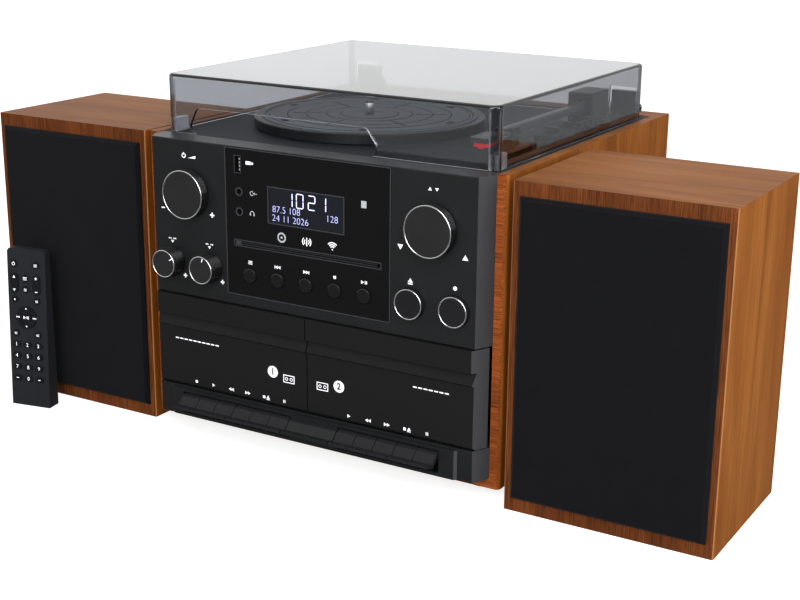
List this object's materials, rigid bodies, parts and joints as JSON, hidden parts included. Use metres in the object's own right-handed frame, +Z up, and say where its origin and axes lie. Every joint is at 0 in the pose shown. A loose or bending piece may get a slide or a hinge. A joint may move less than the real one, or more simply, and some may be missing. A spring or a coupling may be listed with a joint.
{
  "type": "stereo music centre",
  "caption": "Wood-cased music centre with record deck under a clear cover, disc slot, twin cassette doors with piano keys, separate speakers and a remote control.",
  "frame": {"origin": "middle of the whole set's footprint on the table", "axes": "+X to the listener's right along the row of cabinet and speakers, -Y towards the listener, +Z up"},
  "size_m": [0.6694, 0.3632, 0.2993],
  "materials": {
    "walnut": "printed walnut foil, satin",
    "foot_rubber": "matt",
    "black_plastic": "fine texture",
    "gloss_black": "polished",
    "display_window": "dark tinted, lit digits",
    "socket_plastic": "moulded",
    "case_steel": "zinc plated",
    "circuit_board": "solder resist",
    "transformer_iron": "varnished laminations",
    "platter_metal": "turned",
    "mat_rubber": "ribbed",
    "belt_rubber": "smooth",
    "pulley_brass": "turned",
    "arm_plastic": "satin",
    "cartridge_red": "moulded",
    "smoked_cover": "clear smoked",
    "shaft_steel": "drawn",
    "knob_black": "satin face, bright edge",
    "key_black": "polished",
    "grille_cloth": "woven, stretched",
    "cone_paper": "basket and cone",
    "remote_plastic": "satin",
    "remote_rubber": "moulded"
  },
  "bodies": {
    "set": {"wood_cabinet": "walnut", "feet": "foot_rubber", "rear_panel": "black_plastic", "rear_sockets": "socket_plastic", "deck_plate": "black_plastic", "upper_fascia": "black_plastic", "display_panel": "gloss_black", "display_window": "display_window", "cd_drive": "case_steel", "front_sockets": "socket_plastic", "main_board": "circuit_board", "power_transformer": "transformer_iron", "lower_fascia": "black_plastic", "tape_mechanisms": "case_steel", "tonearm_base": "arm_plastic", "lid_hinges": "arm_plastic", "turntable_motor": "case_steel", "drive_belt": "belt_rubber", "speaker_left_box": "walnut", "speaker_left_grille": "grille_cloth", "speaker_right_box": "walnut", "speaker_right_grille": "grille_cloth", "woofers": "cone_paper", "remote_case": "remote_plastic", "remote_keys": "remote_rubber"},
    "cover": {"dust_cover": "smoked_cover"},
    "turntable": {"platter": "platter_metal", "platter_mat": "mat_rubber"},
    "pulley": {"motor_pulley": "pulley_brass"},
    "gimbal": {"arm_gimbal": "arm_plastic"},
    "arm": {"tonearm": "arm_plastic", "cartridge": "cartridge_red"},
    "cue": {"cue_lever": "arm_plastic"},
    "speed": {"speed_selector": "arm_plastic"},
    "volume_press_body": {"volume_shaft": "shaft_steel"},
    "volume_turn_body": {"volume_knob": "knob_black"},
    "scroll_press_body": {"scroll_shaft": "shaft_steel"},
    "scroll_turn_body": {"scroll_knob": "knob_black"},
    "bass_tone": {"bass_knob": "knob_black"},
    "treble_tone": {"treble_knob": "knob_black"},
    "eject_button_body": {"eject_button": "knob_black"},
    "record_button_body": {"record_button": "knob_black"},
    "info_button_body": {"info_button": "knob_black"},
    "previous_button_body": {"previous_button": "knob_black"},
    "next_button_body": {"next_button": "knob_black"},
    "stop_button_body": {"stop_button": "knob_black"},
    "play_button_body": {"play_button": "knob_black"},
    "door_1": {"cassette_door_1": "gloss_black"},
    "door_2": {"cassette_door_2": "gloss_black"},
    "left_record_key_body": {"left_record_key": "key_black"},
    "left_play_key_body": {"left_play_key": "key_black"},
    "left_rewind_key_body": {"left_rewind_key": "key_black"},
    "left_forward_key_body": {"left_forward_key": "key_black"},
    "left_stop_key_body": {"left_stop_key": "key_black"},
    "left_pause_key_body": {"left_pause_key": "key_black"},
    "right_play_key_body": {"right_play_key": "key_black"},
    "right_rewind_key_body": {"right_rewind_key": "key_black"},
    "right_forward_key_body": {"right_forward_key": "key_black"},
    "right_stop_key_body": {"right_stop_key": "key_black"},
    "right_pause_key_body": {"right_pause_key": "key_black"}
  },
  "joints": [
    {"name": "cover_hinge", "type": "hinge", "parent": "set", "child": "cover", "pos_m": [-0.00365, 0.15415, 0.258], "axis": [-1, 0, 0], "range_deg": [0, 65]},
    {"name": "platter_spin", "type": "hinge", "parent": "set", "child": "turntable", "pos_m": [-0.03415, -0.00945, 0.2605], "axis": [0, 0, -1], "continuous": true},
    {"name": "pulley_spin", "type": "hinge", "parent": "set", "child": "pulley", "pos_m": [-0.08648, 0.04288, 0.2515], "axis": [0, 0, -1], "continuous": true},
    {"name": "arm_swing", "type": "hinge", "parent": "set", "child": "gimbal", "pos_m": [0.12235, 0.08355, 0.2565], "axis": [0, 0, -1], "range_deg": [0, 42]},
    {"name": "arm_lift", "type": "hinge", "parent": "gimbal", "child": "arm", "pos_m": [0.12235, 0.08355, 0.27], "axis": [-1, 0, 0], "range_deg": [0, 6]},
    {"name": "cue_turn", "type": "hinge", "parent": "set", "child": "cue", "pos_m": [0.13935, 0.05455, 0.262], "axis": [-1, 0, 0], "range_deg": [0, 80]},
    {"name": "speed_slide", "type": "slide", "parent": "set", "child": "speed", "axis": [0, 1, 0], "range_m": [-0.006, 0.006]},
    {"name": "volume_press", "type": "slide", "parent": "set", "child": "volume_press_body", "axis": [0, 1, 0], "range_m": [0, 0.0012], "stiffness_N_per_m": 400, "springref_m": -0.002},
    {"name": "volume_turn", "type": "hinge", "parent": "volume_press_body", "child": "volume_turn_body", "pos_m": [-0.11655, -0.15295, 0.2085], "axis": [0, -1, 0], "continuous": true},
    {"name": "scroll_press", "type": "slide", "parent": "set", "child": "scroll_press_body", "axis": [0, 1, 0], "range_m": [0, 0.0012], "stiffness_N_per_m": 400, "springref_m": -0.002},
    {"name": "scroll_turn", "type": "hinge", "parent": "scroll_press_body", "child": "scroll_turn_body", "pos_m": [0.10925, -0.15295, 0.2085], "axis": [0, -1, 0], "continuous": true},
    {"name": "bass_tone_turn", "type": "hinge", "parent": "set", "child": "bass_tone", "pos_m": [-0.13555, -0.15295, 0.1495], "axis": [0, -1, 0], "range_deg": [-85, 205]},
    {"name": "treble_tone_turn", "type": "hinge", "parent": "set", "child": "treble_tone", "pos_m": [-0.09755, -0.15295, 0.1495], "axis": [0, -1, 0], "range_deg": [-131, 159]},
    {"name": "eject_button_press", "type": "slide", "parent": "set", "child": "eject_button_body", "axis": [0, 1, 0], "range_m": [0, 0.002], "stiffness_N_per_m": 400, "springref_m": -0.002},
    {"name": "record_button_press", "type": "slide", "parent": "set", "child": "record_button_body", "axis": [0, 1, 0], "range_m": [0, 0.002], "stiffness_N_per_m": 400, "springref_m": -0.002},
    {"name": "info_button_press", "type": "slide", "parent": "set", "child": "info_button_body", "axis": [0, 1, 0], "range_m": [0, 0.001], "stiffness_N_per_m": 400, "springref_m": -0.002},
    {"name": "previous_button_press", "type": "slide", "parent": "set", "child": "previous_button_body", "axis": [0, 1, 0], "range_m": [0, 0.001], "stiffness_N_per_m": 400, "springref_m": -0.002},
    {"name": "next_button_press", "type": "slide", "parent": "set", "child": "next_button_body", "axis": [0, 1, 0], "range_m": [0, 0.001], "stiffness_N_per_m": 400, "springref_m": -0.002},
    {"name": "stop_button_press", "type": "slide", "parent": "set", "child": "stop_button_body", "axis": [0, 1, 0], "range_m": [0, 0.001], "stiffness_N_per_m": 400, "springref_m": -0.002},
    {"name": "play_button_press", "type": "slide", "parent": "set", "child": "play_button_body", "axis": [0, 1, 0], "range_m": [0, 0.001], "stiffness_N_per_m": 400, "springref_m": -0.002},
    {"name": "door_1_hinge", "type": "hinge", "parent": "set", "child": "door_1", "pos_m": [-0.0783, -0.14975, 0.0452], "axis": [1, 0, 0], "range_deg": [0, 35]},
    {"name": "door_2_hinge", "type": "hinge", "parent": "set", "child": "door_2", "pos_m": [0.071, -0.14975, 0.0452], "axis": [1, 0, 0], "range_deg": [0, 35]},
    {"name": "left_record_key_press", "type": "hinge", "parent": "set", "child": "left_record_key_body", "pos_m": [-0.11865, -0.12245, 0.031], "axis": [1, 0, 0], "range_deg": [0, 8], "stiffness_Nm_per_rad": 0.5, "springref_deg": -4.58},
    {"name": "left_play_key_press", "type": "hinge", "parent": "set", "child": "left_play_key_body", "pos_m": [-0.10055, -0.12245, 0.031], "axis": [1, 0, 0], "range_deg": [0, 8], "stiffness_Nm_per_rad": 0.5, "springref_deg": -4.58},
    {"name": "left_rewind_key_press", "type": "hinge", "parent": "set", "child": "left_rewind_key_body", "pos_m": [-0.08245, -0.12245, 0.031], "axis": [1, 0, 0], "range_deg": [0, 8], "stiffness_Nm_per_rad": 0.5, "springref_deg": -4.58},
    {"name": "left_forward_key_press", "type": "hinge", "parent": "set", "child": "left_forward_key_body", "pos_m": [-0.06435, -0.12245, 0.031], "axis": [1, 0, 0], "range_deg": [0, 8], "stiffness_Nm_per_rad": 0.5, "springref_deg": -4.58},
    {"name": "left_stop_key_press", "type": "hinge", "parent": "set", "child": "left_stop_key_body", "pos_m": [-0.04625, -0.12245, 0.031], "axis": [1, 0, 0], "range_deg": [0, 8], "stiffness_Nm_per_rad": 0.5, "springref_deg": -4.58},
    {"name": "left_pause_key_press", "type": "hinge", "parent": "set", "child": "left_pause_key_body", "pos_m": [-0.02815, -0.12245, 0.031], "axis": [1, 0, 0], "range_deg": [0, 8], "stiffness_Nm_per_rad": 0.5, "springref_deg": -4.58},
    {"name": "right_play_key_press", "type": "hinge", "parent": "set", "child": "right_play_key_body", "pos_m": [0.03575, -0.12245, 0.031], "axis": [1, 0, 0], "range_deg": [0, 8], "stiffness_Nm_per_rad": 0.5, "springref_deg": -4.58},
    {"name": "right_rewind_key_press", "type": "hinge", "parent": "set", "child": "right_rewind_key_body", "pos_m": [0.05385, -0.12245, 0.031], "axis": [1, 0, 0], "range_deg": [0, 8], "stiffness_Nm_per_rad": 0.5, "springref_deg": -4.58},
    {"name": "right_forward_key_press", "type": "hinge", "parent": "set", "child": "right_forward_key_body", "pos_m": [0.07195, -0.12245, 0.031], "axis": [1, 0, 0], "range_deg": [0, 8], "stiffness_Nm_per_rad": 0.5, "springref_deg": -4.58},
    {"name": "right_stop_key_press", "type": "hinge", "parent": "set", "child": "right_stop_key_body", "pos_m": [0.09005, -0.12245, 0.031], "axis": [1, 0, 0], "range_deg": [0, 8], "stiffness_Nm_per_rad": 0.5, "springref_deg": -4.58},
    {"name": "right_pause_key_press", "type": "hinge", "parent": "set", "child": "right_pause_key_body", "pos_m": [0.10815, -0.12245, 0.031], "axis": [1, 0, 0], "range_deg": [0, 8], "stiffness_Nm_per_rad": 0.5, "springref_deg": -4.58}
  ],
  "couplings": [
    {"joint": "pulley_spin", "follows": "platter_spin", "ratio": 12},
    {"joint": "cue_turn", "follows": "arm_lift", "ratio": 13.333}
  ]
}
